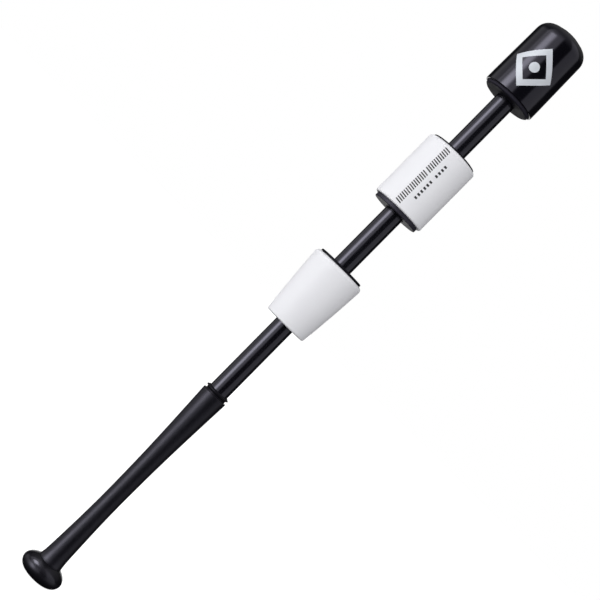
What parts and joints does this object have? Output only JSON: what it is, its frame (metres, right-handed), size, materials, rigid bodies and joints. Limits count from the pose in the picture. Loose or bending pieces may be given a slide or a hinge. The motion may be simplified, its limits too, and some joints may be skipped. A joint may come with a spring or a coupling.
{
  "type": "swing trainer stick",
  "caption": "Bat-shaped swing trainer: knobbed grip, bare straight shaft, fixed round head, and hollow weights that slide and turn on the shaft between a stop ring and the head.",
  "frame": {"origin": "centre of the knob's flat base", "axes": "+Z along the stick from the knob to the head; every piece is round about Z, so X and Y are free, with the printed side of the weights and head towards -Y"},
  "size_m": [0.063, 0.063, 0.78],
  "materials": {
    "shaft_black": "gloss",
    "grip_black": "satin",
    "knob_black": "satin",
    "head_black": "gloss",
    "shell_white": "satin",
    "bumper_grey": "matte",
    "ring_black": "satin",
    "core_steel": "satin",
    "screw_steel": "polished",
    "insert_aluminium": "satin",
    "liner_natural": "satin",
    "hub_grey": "matte"
  },
  "bodies": {
    "stick": {"shaft_tube": "shaft_black", "grip_sleeve": "grip_black", "knob": "knob_black", "knob_cap": "knob_black", "knob_screw": "screw_steel", "handle_plug": "insert_aluminium", "stop_collar": "insert_aluminium", "stop_ring": "ring_black", "head_shell": "head_black", "head_bumper": "bumper_grey", "head_hub": "hub_grey", "shaft_insert": "insert_aluminium", "head_washer": "screw_steel", "head_bolt": "screw_steel"},
    "taper_liner": {"taper_bush": "liner_natural"},
    "taper_weight": {"taper_shell": "shell_white", "taper_core": "core_steel", "taper_lower_bumper": "bumper_grey", "taper_upper_bumper": "bumper_grey"},
    "barrel_liner": {"barrel_bush": "liner_natural"},
    "barrel_weight": {"barrel_shell": "shell_white", "barrel_core": "core_steel", "barrel_lower_bumper": "bumper_grey", "barrel_upper_bumper": "bumper_grey"}
  },
  "joints": [
    {"name": "taper_slide", "type": "slide", "parent": "stick", "child": "taper_liner", "axis": [0, 0, 1], "range_m": [-0.0964, 0.0279]},
    {"name": "taper_spin", "type": "hinge", "parent": "taper_liner", "child": "taper_weight", "pos_m": [0, 0, 0.405], "axis": [0, 0, 1], "continuous": true},
    {"name": "barrel_slide", "type": "slide", "parent": "stick", "child": "barrel_liner", "axis": [0, 0, 1], "range_m": [-0.0489, 0.0753]},
    {"name": "barrel_spin", "type": "hinge", "parent": "barrel_liner", "child": "barrel_weight", "pos_m": [0, 0, 0.568], "axis": [0, 0, 1], "continuous": true}
  ]
}
